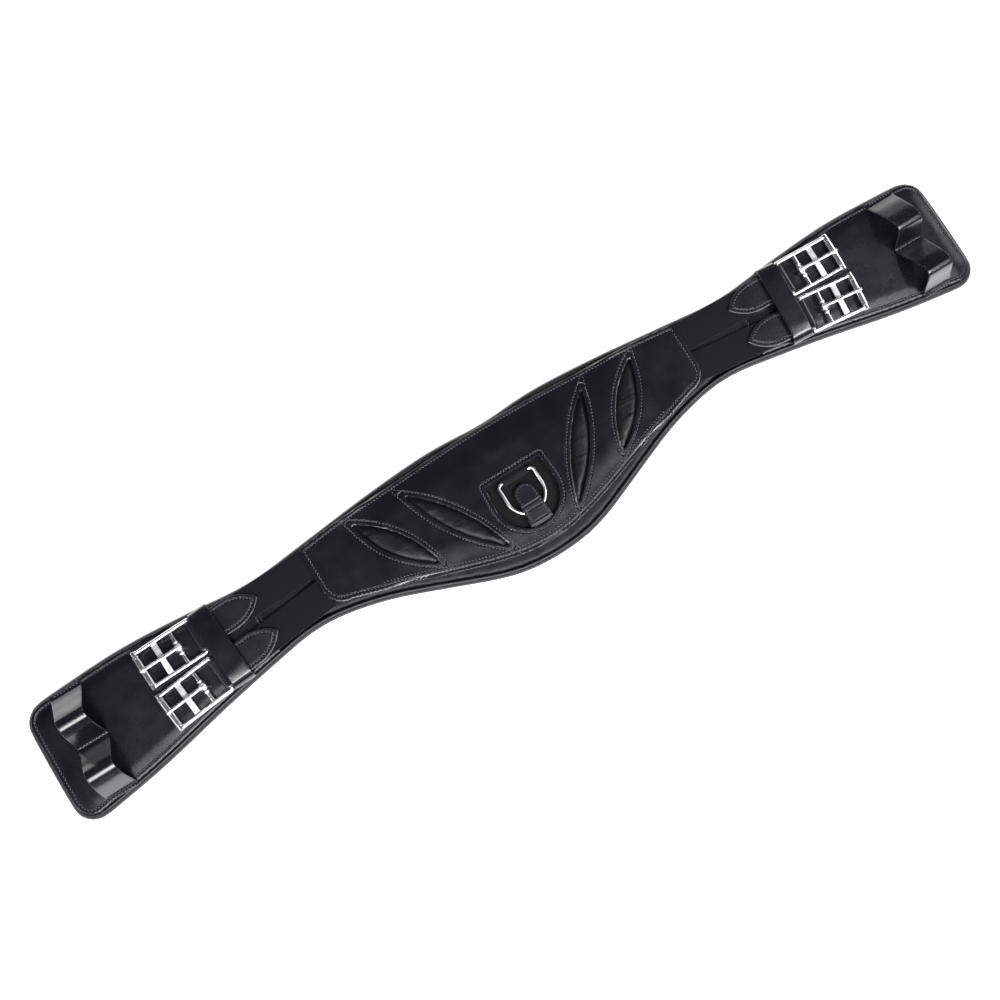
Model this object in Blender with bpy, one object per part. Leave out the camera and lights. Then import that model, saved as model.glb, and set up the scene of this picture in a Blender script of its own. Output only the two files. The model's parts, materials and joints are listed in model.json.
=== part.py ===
"""A short anatomical girth of black leather, lying flat with its buckles up.

X runs along the girth, Y across it and Z up.  The girth is the same on both sides of X = 0.
Its front edge, which bulges in the middle, is at -Y.  The origin is under the middle of the
girth's box, on the surface that it lies on.  Sizes are in millimetres, and MM turns them into
metres when a mesh is made.
"""
import math

import bmesh
import bpy
from mathutils import Vector

for old in list(bpy.data.objects):
    bpy.data.objects.remove(old)

MM = 0.001
GAP = 0.3                      # between pieces that touch

# Layers, from the horse's side up: the height of each layer's underside and top.
LINING = (0.0, 1.4)
FOAM = (LINING[1] + GAP, 8.2)
BASE = (FOAM[1] + GAP, 9.9)
FLOOR = (BASE[1] + GAP, 12.2)          # end panels and centre underlay
STRAP = (FLOOR[1] + GAP, 14.5)         # elastics, inlays and what is sewn in beside them
PANEL = (STRAP[1] + GAP, 17.0)         # centre panel and the chapes' upper leather
RIM_TOP = BASE[1]

# Pad
PAD_END = 402.5
PAD_REAR_EDGE = [(0, 58), (45, 60.3), (100, 57), (165, 50), (212, 45.6), (265, 50.2),
                 (320, 53.4), (384, 50.5)]
PAD_FRONT_EDGE = [(0, -60.3), (20, -59), (45, -53.5), (85, -38), (125, -22.5), (162, -13.5),
                  (190, -12), (225, -17.5), (270, -26), (330, -39), (385, -47.8)]
PAD_CORNER_REAR = 32.0         # Y where the rear corner meets the end
PAD_CORNER_FRONT = -30.0
RIM = 5.5                      # width of the rolled rim
PAD_STEP = 14.0                # spacing of the outline's points

# Webbing inside the foam
WEB_LENGTH, WEB_WIDTH, WEB_THICK = 300.0, 40.0, 1.3
WEB_MIDDLE = 15.0              # Y of its middle

# Centre panel
PANEL_END = 167.0
PANEL_REAR_EDGE = [(0, 55.5), (38, 55), (87, 52.4), (132, 49.6), (165, 45.8)]
PANEL_FRONT_EDGE = [(0, -47.5), (21, -45.8), (37, -42.3), (58, -36.2), (81, -28.6), (104, -20.6),
                    (126, -14.2), (150, -6.8)]
PANEL_CORNER_FRONT = 9.0
UNDERLAY_INSET = 3.0
OUTER_EYE = ((124.5, 41.4), (81.3, -18.3), 8.2)      # two tips and how far each side bulges
INNER_EYE = ((79.9, 40.4), (30.5, -34.8), 7.4)
INLAY_MARGIN = 4.0
SHIELD_TOP, SHIELD_SHOULDER, SHIELD_BOTTOM = 12.7, -8.0, -33.4
SHIELD_TOP_HALF, SHIELD_HALF = 24.0, 25.5

# D-ring, its webbing loop and its tab
WIRE = 1.5                     # radius of the ring's wire
RING_BAR_Y, RING_TURN_Y, RING_HALF = 8.5, -6.5, 15.5
LOOP_WEB = 1.0
LOOP_HALF = 11.0
LOOP_TAIL_END = 27.0
RING_Z = STRAP[0] + LOOP_WEB + GAP + WIRE
TAB_PIVOT = (-31.5, RING_Z + WIRE + GAP + 1.0)       # Y and Z
TAB_THICK, TAB_HALF, TAB_TIP = 2.0, 8.7, 1.4
TAB_ROOT = TAB_PIVOT[0] + 0.6
TAB_BEND = -17.5               # Y where the tab starts down into the ring
TAB_DROP = 3.4
ANCHOR_HALF, ANCHOR_END, ANCHOR_FRONT = 9.5, -46.0, -25.0
ANCHOR_STEP = -31.2            # Y where the anchor comes out from under the panel

# End panels
END_PANEL_START = 216.0
END_PANEL_MARGINS = (3.0, 5.0)         # inside the pad's edge at the rear and at the front

# Straps: elastic, chape and buckle.  Each has its own frame at the buckle's rear bar.
BAR = 1.6                      # radius of the buckle's wire
CHAPE_LEATHER = 1.8            # thickness of the leaf under the buckle's rear bar
BAR_Z = STRAP[0] + CHAPE_LEATHER + GAP + BAR
STRAPS = {"rear": (262.0, 30.1, -2.2), "front": (261.0, -2.7, -6.2)}    # X, Y, angle in degrees
ELASTIC_HALF, ELASTIC_LENGTH = 11.8, 112.5
CHAPE_HALF, CHAPE_TIP, CHAPE_POINT = 12.2, -52.0, 24.0
CHAPE_FOLD = -12.0             # the lower leather ends here, against the elastic
BUCKLE_HALF = 14.1             # from the middle to a side bar
ROLLER_X, TONGUE_X, FLAT_BAR_X = 45.5, 15.5, 30.0
FLAT_BAR = (4.4, -2.0, -0.55)   # width, underside and top from the bars' middle
ROLLER_WALL = 0.7
ROLLER_HALF = 12.1
HUB, HUB_HALF = 3.6, 2.6
TONGUE_WIRE = 1.4

# Keeper and billet loops
KEEPER_X, KEEPER_WIDTH, KEEPER_THICK = 249.0, 15.0, 1.7
KEEPER_TURN = -4.2             # degrees
KEEPER_SPAN = (-16.4, 46.0)    # inside, along the keeper
KEEPER_UNDER = 19.5
KEEPER_BEND = 5.0
LOOP_X, LOOP_WIDTH, LOOP_THICK = 364.0, 25.0, 1.6
LOOP_SEATS = (45.3, 3.8, -37.7)        # Y of the rear, middle and front stitching
LOOP_RISE = 19.9
LOOP_LEAN = 4.0                # the loops' tops lean to the rear at -X and to the front at +X
LOOP_FOOT = 2.5

LEATHER_BLACK = (0.012, 0.013, 0.018)
SOFT_BLACK = (0.018, 0.019, 0.024)
ELASTIC_BLACK = (0.020, 0.018, 0.024)
FOAM_GREY = (0.05, 0.05, 0.055)
STEEL = (0.78, 0.78, 0.79)


# ---------------------------------------------------------------- outlines

def smooth_curve(points, step):
    """Points about every `step` along a curve through the given points."""
    corners = [Vector(p) for p in points]
    guide = [2 * corners[0] - corners[1]] + corners + [2 * corners[-1] - corners[-2]]
    curve = []
    for a, b, c, d in zip(guide, guide[1:], guide[2:], guide[3:]):
        pieces = max(1, round((c - b).length / step))
        for i in range(pieces):
            t = i / pieces
            curve.append(b + 0.5 * t * ((c - a) + t * (2 * a - 5 * b + 4 * c - d)
                                        + t * t * (3 * b - a - 3 * c + d)))
    return curve + [corners[-1]]


def mirrored(points):
    """The points on both sides of X = 0, from -X to +X."""
    return [(-x, y) for x, y in reversed(points) if x > 0] + list(points)


def corner(centre, half_x, half_y, first, last, pieces):
    """Part of an ellipse, between two angles in degrees."""
    turns = [math.radians(first + (last - first) * i / pieces) for i in range(pieces + 1)]
    return [Vector((centre[0] + half_x * math.cos(a), centre[1] + half_y * math.sin(a)))
            for a in turns]


def banded_outline(rear_edge, front_edge, end, rear_y, front_y, step):
    """A closed outline between two long edges, with round corners at both ends."""
    rear_corner, front_corner = rear_edge[-1], front_edge[-1]
    right_rear = corner((rear_corner[0], rear_y), end - rear_corner[0],
                        rear_corner[1] - rear_y, 90, 0, 4)
    right_front = corner((front_corner[0], front_y), end - front_corner[0],
                         front_y - front_corner[1], 0, -90, 4)
    right = right_rear[1:] + right_front[:-1]
    left = [Vector((-p.x, p.y)) for p in reversed(right)]
    rear = smooth_curve(mirrored(rear_edge), step)
    front = smooth_curve(mirrored(front_edge), step)
    return rear + right + list(reversed(front)) + left


def inset(outline, rear, front=None):
    """The outline moved inwards, by `rear` where it faces +Y and by `front` where it faces -Y."""
    front = rear if front is None else front
    moved = []
    for i, point in enumerate(outline):
        along = (outline[(i + 1) % len(outline)] - outline[i - 1]).normalized()
        outward = Vector((-along.y, along.x))
        share = 0.5 * (1 + outward.y)
        moved.append(point - outward * (rear * share + front * (1 - share)))
    return moved


def lens(tip, other_tip, bulge):
    """A leaf shape between two tips."""
    tip, other_tip = Vector(tip), Vector(other_tip)
    across = (other_tip - tip).orthogonal().normalized()
    middle = [i / 8 for i in range(1, 8)]
    one_side = [tip.lerp(other_tip, t) + across * bulge * 4 * t * (1 - t) for t in middle]
    back = [tip.lerp(other_tip, t) - across * bulge * 4 * t * (1 - t) for t in reversed(middle)]
    return [tip] + one_side + [other_tip] + back


def longer_lens(eye, margin):
    """An eye's leaf shape, larger all round by a margin."""
    tip, other_tip, bulge = Vector(eye[0]), Vector(eye[1]), eye[2]
    along = (tip - other_tip).normalized() * margin
    return lens(tip + along, other_tip - along, bulge + margin)


def flipped(outline):
    return [Vector((-p[0], p[1])) for p in outline]


def shield():
    bottom = corner((0, SHIELD_SHOULDER), SHIELD_HALF, SHIELD_SHOULDER - SHIELD_BOTTOM, 0, -180, 14)
    return [Vector((-SHIELD_TOP_HALF, SHIELD_TOP)), Vector((SHIELD_TOP_HALF, SHIELD_TOP))] + bottom


# ---------------------------------------------------------------- solids

def mesh_from(bm, name):
    """A mesh in metres from a bmesh in millimetres, with its faces pointing out."""
    bmesh.ops.recalc_face_normals(bm, faces=bm.faces)
    if bm.calc_volume(signed=True) < 0:
        bmesh.ops.reverse_faces(bm, faces=bm.faces)
    bmesh.ops.scale(bm, vec=(MM, MM, MM), verts=bm.verts)
    mesh = bpy.data.meshes.new(name)
    bm.to_mesh(mesh)
    bm.free()
    return mesh


def plate(outline, height, holes=(), plane="XY", trims=()):
    """A flat piece with straight walls.

    Its outline lies in `plane`, and `height` is its two levels across that plane.  Each trim is
    a point and a direction in the plane, and what lies on the trim's far side is cut away.
    """
    bm = bmesh.new()
    edges = []
    for loop in (outline, *holes):
        verts = [bm.verts.new((p[0], p[1], 0)) for p in loop]
        edges += [bm.edges.new((verts[i - 1], verts[i])) for i in range(len(verts))]
    if holes:
        bmesh.ops.triangle_fill(bm, edges=edges, use_beauty=True, use_dissolve=False)
    else:
        bm.faces.new(bm.verts)
    for point, direction in trims:
        bmesh.ops.bisect_plane(bm, geom=bm.verts[:] + bm.edges[:] + bm.faces[:],
                               plane_co=(*point, 0), plane_no=(*direction, 0), clear_outer=True)
    top = bmesh.ops.extrude_face_region(bm, geom=bm.faces[:])
    raised = [v for v in top["geom"] if isinstance(v, bmesh.types.BMVert)]
    bmesh.ops.translate(bm, verts=bm.verts, vec=(0, 0, height[0]))
    bmesh.ops.translate(bm, verts=raised, vec=(0, 0, height[1] - height[0]))
    axes = {"XY": (0, 1, 2), "XZ": (0, 2, 1), "YZ": (2, 0, 1)}[plane]
    for vert in bm.verts:
        vert.co = [vert.co[i] for i in axes]
    return mesh_from(bm, "plate")


def loft(rings):
    """A closed solid through rings of points, capped at the first and the last ring."""
    bm = bmesh.new()
    loops = [[bm.verts.new(p) for p in ring] for ring in rings]
    for lower, upper in zip(loops, loops[1:]):
        for i in range(len(lower)):
            bm.faces.new((lower[i - 1], lower[i], upper[i], upper[i - 1]))
    bm.faces.new(loops[0])
    bm.faces.new(loops[-1])
    return mesh_from(bm, "loft")


def wire(path, radius, sides=8, closed=False):
    """A round wire along a path, with flat ends unless it is closed."""
    path = [Vector(p) for p in path]
    count = len(path)
    bm = bmesh.new()
    rings = []
    normal = None
    for i, point in enumerate(path):
        before = path[i - 1] if closed or i > 0 else point
        after = path[(i + 1) % count] if closed or i < count - 1 else point
        along_in = (point - before).normalized()
        along_out = (after - point).normalized()
        along = (along_in + along_out).normalized()
        if normal is None:
            plane = (path[1] - path[0]).cross(path[-1] - path[0])
            normal = plane.normalized() if plane.length > 1e-6 else along.orthogonal().normalized()
        side = along.cross(normal).normalized()
        stretch = 1 / max(0.5, along.dot(along_out if along_out.length else along_in))
        ring = []
        for k in range(sides):
            a = 2 * math.pi * (k + 0.5) / sides
            ring.append(bm.verts.new(point + side * stretch * radius * math.cos(a)
                                     + normal * radius * math.sin(a)))
        rings.append(ring)
    pairs = list(zip(rings, rings[1:])) + ([(rings[-1], rings[0])] if closed else [])
    for one, other in pairs:
        for k in range(sides):
            bm.faces.new((one[k - 1], one[k], other[k], other[k - 1]))
    if not closed:
        bm.faces.new(rings[0])
        bm.faces.new(rings[-1])
    return mesh_from(bm, "wire")


def ribbon(path, thickness):
    """The closed outline of a strip of leather seen edge on, with `path` in its middle."""
    path = [Vector(p) for p in path]
    upper, lower = [], []
    for i, point in enumerate(path):
        into = (point - path[i - 1]).normalized() if i > 0 else None
        out = (path[i + 1] - point).normalized() if i < len(path) - 1 else None
        into, out = into or out, out or into
        along = (into + out).normalized()
        reach = 0.5 * thickness / max(0.5, along.dot(out))
        across = Vector((-along.y, along.x)) * reach
        upper.append(point + across)
        lower.append(point - across)
    return upper + list(reversed(lower))


def joined(*meshes):
    """One closed mesh out of meshes that overlap."""
    base, *tools = [bpy.data.objects.new("piece", mesh) for mesh in meshes]
    for item in (base, *tools):
        bpy.context.collection.objects.link(item)
    for tool in tools:
        union = base.modifiers.new("join", "BOOLEAN")
        union.operation = "UNION"
        union.solver = "EXACT"
        union.object = tool
    shape = base.evaluated_get(bpy.context.evaluated_depsgraph_get())
    mesh = bpy.data.meshes.new_from_object(shape)
    for item in (base, *tools):
        bpy.data.objects.remove(item)
    return mesh


# ---------------------------------------------------------------- placing

def finish_material(name, colour, roughness, metallic=0.0):
    material = bpy.data.materials.new(name)
    material.use_nodes = True
    shader = material.node_tree.nodes["Principled BSDF"]
    shader.inputs["Base Color"].default_value = (*colour, 1)
    shader.inputs["Roughness"].default_value = roughness
    shader.inputs["Metallic"].default_value = metallic
    return material


def add(name, mesh, colour, roughness, metallic=0.0, parent=None, pivot=(0, 0, 0)):
    """A named piece with its origin at `pivot`, in its parent's frame; the mesh is about it."""
    piece = bpy.data.objects.new(name, mesh.copy())
    bpy.context.collection.objects.link(piece)
    piece.data.materials.clear()
    piece.data.materials.append(finish_material(name, colour, roughness, metallic))
    piece.parent = parent
    piece.location = Vector(pivot) * MM
    piece.data.shade_smooth()
    piece.data.set_sharp_from_angle(angle=math.radians(35))
    return piece


def trim(piece, operation, mesh):
    """A Boolean on a piece, with a hidden cutter that stands at the piece's own origin."""
    cutter = bpy.data.objects.new(f"{piece.name}_cutter", mesh)
    bpy.context.collection.objects.link(cutter)
    cutter.hide_render = True
    cutter.display_type = "WIRE"
    cutter.location = piece.location
    cut = piece.modifiers.new("trim", "BOOLEAN")
    cut.operation = operation
    cut.solver = "EXACT"
    cut.object = cutter


def frame_at(name, place, turn=0.0):
    """An empty that holds a group: its place in millimetres and its turn about Z in degrees."""
    holder = bpy.data.objects.new(name, None)
    bpy.context.collection.objects.link(holder)
    holder.location = Vector(place) * MM
    holder.rotation_euler.z = math.radians(turn)
    return holder


SIDES = {"right": 1, "left": -1}


# ---------------------------------------------------------------- the pad

def make_pad():
    outline = banded_outline(PAD_REAR_EDGE, PAD_FRONT_EDGE, PAD_END, PAD_CORNER_REAR,
                             PAD_CORNER_FRONT, PAD_STEP)
    rim_profile = [(3.0, LINING[0]), (0.6, 2.2), (0.0, 5.0), (0.8, 8.0), (3.0, RIM_TOP),
                   (RIM, RIM_TOP), (RIM, LINING[1])]
    rings = [[(p.x, p.y, z) for p in inset(outline, depth)] for depth, z in rim_profile]
    add("lining", loft(rings), SOFT_BLACK, 0.6)

    inner = inset(outline, RIM + GAP)
    foam = plate(inner, FOAM)
    strip, pocket = ([(x * (WEB_LENGTH / 2 + room), WEB_MIDDLE + y * (WEB_WIDTH / 2 + room))
                      for x, y in ((-1, -1), (1, -1), (1, 1), (-1, 1))] for room in (0, GAP))
    web_under = FOAM[1] - WEB_THICK
    core = add("foam_core", foam, FOAM_GREY, 0.9)
    trim(core, "DIFFERENCE", plate(pocket, (web_under - GAP, FOAM[1] + 1)))
    add("load_web", plate(strip, (web_under, FOAM[1])), ELASTIC_BLACK, 0.8)
    add("base_leather", plate(inner, BASE), SOFT_BLACK, 0.55)

    margins = inset(outline, *END_PANEL_MARGINS)
    for side, sign in SIDES.items():
        panel = plate(margins, FLOOR, trims=[((sign * END_PANEL_START, 0), (-sign, 0))])
        add(f"end_panel_{side}", panel, LEATHER_BLACK, 0.4)


# ---------------------------------------------------------------- the centre panel

def make_centre():
    outline = banded_outline(PANEL_REAR_EDGE, PANEL_FRONT_EDGE, PANEL_END, PANEL_REAR_EDGE[-1][1] - 3,
                             PANEL_CORNER_FRONT, PAD_STEP)
    eyes = {"right_outer": lens(*OUTER_EYE), "right_inner": lens(*INNER_EYE)}
    inlays = {"right_outer": longer_lens(OUTER_EYE, INLAY_MARGIN),
              "right_inner": longer_lens(INNER_EYE, INLAY_MARGIN)}
    for group in (eyes, inlays):
        for name, shape in list(group.items()):
            group[name.replace("right", "left")] = flipped(shape)
    add("centre_panel", plate(outline, PANEL, holes=[*eyes.values(), shield()]), LEATHER_BLACK, 0.3)
    for name, shape in inlays.items():
        add(f"eye_inlay_{name}", plate(shape, STRAP), SOFT_BLACK, 0.6)
    add("centre_underlay", plate(inset(outline, UNDERLAY_INSET), FLOOR), SOFT_BLACK, 0.6)


# ---------------------------------------------------------------- the D-ring and its tab

def make_d_ring():
    turn_y = RING_TURN_Y - RING_BAR_Y
    curve = corner((0, turn_y), RING_HALF, RING_HALF, 0, -180, 12)
    path = [(-RING_HALF, 0, 0), (RING_HALF, 0, 0)] + [(p.x, p.y, 0) for p in curve]
    add("d_ring", wire(path, WIRE, closed=True), STEEL, 0.15, 1.0, pivot=(0, RING_BAR_Y, RING_Z))


def make_d_ring_loop():
    """Webbing folded round the ring's straight bar, with both ends sewn under the panel."""
    outer = WIRE + GAP + LOOP_WEB
    fold = corner((RING_BAR_Y, RING_Z), outer, outer, 35, 270, 10)
    tail = [Vector((LOOP_TAIL_END, STRAP[0])), Vector((LOOP_TAIL_END, STRAP[1])),
            Vector((SHIELD_TOP - GAP, STRAP[1]))]
    hole = corner((RING_BAR_Y, RING_Z), WIRE + GAP, WIRE + GAP, 0, 330, 11)
    add("d_ring_loop", plate(fold + tail, (-LOOP_HALF, LOOP_HALF), holes=[hole], plane="YZ"),
        ELASTIC_BLACK, 0.8)


def make_tab():
    """The tab is flat over the ring's curved bar and slopes down inside the ring to its tip."""
    pivot_y, pivot_z = TAB_PIVOT
    length = TAB_TIP - pivot_y
    spine = [(TAB_ROOT - pivot_y, 0), (TAB_BEND - pivot_y, 0), (length, -TAB_DROP)]
    side_view = plate(ribbon(spine, TAB_THICK), (-TAB_HALF, TAB_HALF), plane="YZ")
    end = corner((0, length - TAB_HALF), TAB_HALF, TAB_HALF, 0, 180, 10)
    outline = [(-TAB_HALF, TAB_ROOT - pivot_y - 1), (TAB_HALF, TAB_ROOT - pivot_y - 1)] + end
    tab = add("d_ring_tab", side_view, LEATHER_BLACK, 0.35, pivot=(0, pivot_y, pivot_z))
    trim(tab, "INTERSECT", plate(outline, (-2 * TAB_DROP, 2 * TAB_DROP)))
    under = pivot_z - TAB_THICK / 2 - GAP
    anchor = [(ANCHOR_END, STRAP[0]), (ANCHOR_FRONT, STRAP[0]), (ANCHOR_FRONT, under),
              (ANCHOR_STEP, under), (ANCHOR_STEP, STRAP[1]), (ANCHOR_END, STRAP[1])]
    add("tab_anchor", plate(anchor, (-ANCHOR_HALF, ANCHOR_HALF), plane="YZ"), LEATHER_BLACK, 0.4)


# ---------------------------------------------------------------- the straps and buckles

def chape_mesh():
    """Leather folded round the rear bar; its long upper leaf ends in a pointed arch."""
    outer = BAR + GAP + CHAPE_LEATHER
    upper = (PANEL[0] - BAR_Z, PANEL[0] - BAR_Z + 2.0)
    fold = corner((0, 0), outer, outer, -90, 90, 10)
    nose = [Vector((CHAPE_FOLD, -outer))] + fold + [Vector((-3.5, outer - 1)), Vector((-9, upper[1])),
                                                    Vector((CHAPE_FOLD, upper[1]))]
    hole = corner((0, 0), BAR + GAP, BAR + GAP, 0, 330, 11)
    folded = plate(nose, (-CHAPE_HALF, CHAPE_HALF), holes=[hole], plane="XZ")
    radius = (CHAPE_POINT ** 2 + CHAPE_HALF ** 2) / (2 * CHAPE_HALF)
    turn = math.degrees(math.asin(CHAPE_POINT / radius))
    arch = corner((CHAPE_TIP + CHAPE_POINT, CHAPE_HALF - radius), radius, radius, 90, 90 + turn, 7)
    arch += [Vector((x, -y)) for x, y in reversed(arch[:-1])]
    leaf = arch + [(CHAPE_FOLD + 1.5, -CHAPE_HALF), (CHAPE_FOLD + 1.5, CHAPE_HALF)]
    return joined(folded, plate(leaf, upper))


def frame_mesh():
    """Side bars and end bars in one rectangle, with a round tongue bar and a low flat bar."""
    rectangle = [(0, -BUCKLE_HALF, 0), (ROLLER_X, -BUCKLE_HALF, 0), (ROLLER_X, BUCKLE_HALF, 0),
                 (0, BUCKLE_HALF, 0)]
    across = [(TONGUE_X, -BUCKLE_HALF, 0), (TONGUE_X, BUCKLE_HALF, 0)]
    width, under, top = FLAT_BAR
    edge = (FLAT_BAR_X - width / 2, FLAT_BAR_X + width / 2)
    flat = [(edge[0], -BUCKLE_HALF), (edge[1], -BUCKLE_HALF), (edge[1], BUCKLE_HALF),
            (edge[0], BUCKLE_HALF)]
    return joined(wire(rectangle, BAR, closed=True), wire(across, BAR), plate(flat, (under, top)))


def tongue_mesh():
    """A hub on the tongue bar, with a wire that runs over it and dips before the roller."""
    ring = corner((0, 0), HUB, HUB, 0, 337.5, 15)
    hole = corner((0, 0), BAR + GAP, BAR + GAP, 0, 330, 11)
    hub = plate(ring, (-HUB_HALF, HUB_HALF), holes=[hole], plane="XZ")
    reach = ROLLER_X - TONGUE_X
    rest = BAR + GAP + ROLLER_WALL + GAP + TONGUE_WIRE
    rise = BAR + GAP + TONGUE_WIRE + 0.1
    path = smooth_curve([(-1.5, 0, rise), (5, 0, rise), (14, 0, rise - 0.4), (24, 0, rise - 0.1),
                         (reach, 0, rest + 0.1), (reach + 1.2, 0, rest - 0.05)], 4.5)
    return joined(hub, wire(path, TONGUE_WIRE))


def roller_mesh():
    outer = BAR + GAP + ROLLER_WALL
    tube = corner((0, 0), outer, outer, 0, 337.5, 15)
    bore = corner((0, 0), BAR + GAP, BAR + GAP, 0, 330, 11)
    return plate(tube, (-ROLLER_HALF, ROLLER_HALF), holes=[bore], plane="XZ")


def make_straps():
    elastic = plate([(CHAPE_FOLD - GAP - ELASTIC_LENGTH, -ELASTIC_HALF), (CHAPE_FOLD - GAP, -ELASTIC_HALF),
                     (CHAPE_FOLD - GAP, ELASTIC_HALF), (CHAPE_FOLD - GAP - ELASTIC_LENGTH, ELASTIC_HALF)],
                    (STRAP[0] - BAR_Z, STRAP[1] - BAR_Z))
    chape, frame, tongue, roller = chape_mesh(), frame_mesh(), tongue_mesh(), roller_mesh()
    for side, sign in SIDES.items():
        for row, (x, y, turn) in STRAPS.items():
            name = f"{side}_{row}"
            angle = turn if sign > 0 else 180 - turn
            strap = frame_at(f"strap_{name}", (sign * x, y, BAR_Z), angle)
            add(f"elastic_{name}", elastic, ELASTIC_BLACK, 0.85, parent=strap)
            add(f"chape_{name}", chape, LEATHER_BLACK, 0.4, parent=strap)
            add(f"buckle_frame_{name}", frame, STEEL, 0.15, 1.0, parent=strap)
            add(f"buckle_tongue_{name}", tongue, STEEL, 0.15, 1.0, parent=strap, pivot=(TONGUE_X, 0, 0))
            add(f"buckle_roller_{name}", roller, STEEL, 0.15, 1.0, parent=strap, pivot=(ROLLER_X, 0, 0))


# ---------------------------------------------------------------- keepers and billet loops

def keeper_mesh():
    """A band that stands on the end panel behind the buckles and passes over both straps."""
    low, high = (edge + sign * KEEPER_THICK / 2 for edge, sign in zip(KEEPER_SPAN, (-1, 1)))
    top = KEEPER_UNDER + KEEPER_THICK / 2
    bend = KEEPER_BEND
    path = ([Vector((low, STRAP[0]))] + corner((low + bend, top - bend + 0.5), bend, bend - 0.5, 180, 90, 4)
            + corner((high - bend, top - bend + 0.5), bend, bend - 0.5, 90, 0, 4)
            + [Vector((high, STRAP[0]))])
    return plate(ribbon(path, KEEPER_THICK), (-KEEPER_WIDTH / 2, KEEPER_WIDTH / 2), plane="YZ")


def loops_mesh(lean):
    """One strip, sewn down at both ends and in the middle, so that it stands up in two loops."""
    level = STRAP[0] + LOOP_THICK / 2
    rear, middle, front = LOOP_SEATS
    path = [Vector((rear + LOOP_FOOT, level))]
    for start, end in ((rear - 1, middle + LOOP_FOOT), (middle - LOOP_FOOT, front + 1)):
        centre, half = (start + end) / 2, (start - end) / 2
        for i in range(11):
            a = math.pi * i / 10
            path.append(Vector((centre + half * math.cos(a) + lean * math.sin(a) ** 2,
                                level + LOOP_RISE * math.sin(a) ** 0.8)))
    path.append(Vector((front - LOOP_FOOT, level)))
    return plate(ribbon(path, LOOP_THICK), (-LOOP_WIDTH / 2, LOOP_WIDTH / 2), plane="YZ")


def make_bands():
    for side, sign in SIDES.items():
        keeper = frame_at(f"keeper_place_{side}", (sign * KEEPER_X, 0, 0), sign * KEEPER_TURN)
        add(f"strap_keeper_{side}", keeper_mesh(), LEATHER_BLACK, 0.35, parent=keeper)
        seat = frame_at(f"loops_place_{side}", (sign * LOOP_X, 0, 0))
        add(f"billet_loops_{side}", loops_mesh(-sign * LOOP_LEAN), LEATHER_BLACK, 0.35, parent=seat)


make_pad()
make_centre()
make_d_ring()
make_d_ring_loop()
make_tab()
make_straps()
make_bands()
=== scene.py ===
import math
import json

import bmesh
import bpy
import numpy as np
from mathutils import Matrix, Vector, kdtree

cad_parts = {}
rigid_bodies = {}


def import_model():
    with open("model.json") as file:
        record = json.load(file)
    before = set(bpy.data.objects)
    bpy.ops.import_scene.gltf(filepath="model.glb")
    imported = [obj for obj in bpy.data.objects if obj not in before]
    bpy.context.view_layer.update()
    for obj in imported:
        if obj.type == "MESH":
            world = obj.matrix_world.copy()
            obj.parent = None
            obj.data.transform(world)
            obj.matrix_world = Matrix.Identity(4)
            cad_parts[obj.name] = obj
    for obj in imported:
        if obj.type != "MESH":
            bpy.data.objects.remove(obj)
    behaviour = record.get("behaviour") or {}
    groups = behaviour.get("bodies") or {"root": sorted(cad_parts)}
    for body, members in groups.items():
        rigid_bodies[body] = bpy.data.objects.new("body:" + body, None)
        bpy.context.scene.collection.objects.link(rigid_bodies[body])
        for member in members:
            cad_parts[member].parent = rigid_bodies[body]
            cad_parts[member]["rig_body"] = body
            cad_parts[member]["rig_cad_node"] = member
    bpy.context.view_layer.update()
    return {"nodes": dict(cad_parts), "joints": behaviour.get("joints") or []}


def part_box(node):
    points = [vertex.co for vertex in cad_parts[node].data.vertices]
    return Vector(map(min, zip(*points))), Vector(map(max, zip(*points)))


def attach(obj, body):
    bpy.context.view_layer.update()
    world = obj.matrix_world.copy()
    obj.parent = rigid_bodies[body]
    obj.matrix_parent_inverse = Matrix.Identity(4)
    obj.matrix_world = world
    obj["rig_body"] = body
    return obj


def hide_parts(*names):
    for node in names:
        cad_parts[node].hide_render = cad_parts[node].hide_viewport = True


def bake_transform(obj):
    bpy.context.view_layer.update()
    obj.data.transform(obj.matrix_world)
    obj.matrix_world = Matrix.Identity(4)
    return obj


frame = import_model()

scene = bpy.context.scene
mm = 0.001

# ---------------------------------------------------------------- studio
# The girth lies on a white table.  The camera hangs over it, a little to the left and to the
# front.  A long softbox along the front edge draws the bright lines on the rolled leather, and
# weaker ones behind it and at both ends lift the rest.

lens = bpy.data.cameras.new("camera")
lens.lens = 39.6
camera = bpy.data.objects.new("camera", lens)
camera.location = (-0.0982, -0.0742, 0.8385)
camera.rotation_euler = [math.radians(a) for a in (7.2, -2.0, -31.81)]
scene.collection.objects.link(camera)
scene.camera = camera
scene.view_settings.view_transform = "Standard"

room = bpy.data.worlds.new("room")
room.use_nodes = True
room.node_tree.nodes["Background"].inputs["Color"].default_value = (0.80, 0.88, 1.0, 1)
room.node_tree.nodes["Background"].inputs["Strength"].default_value = 0.05
scene.world = room

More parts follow.
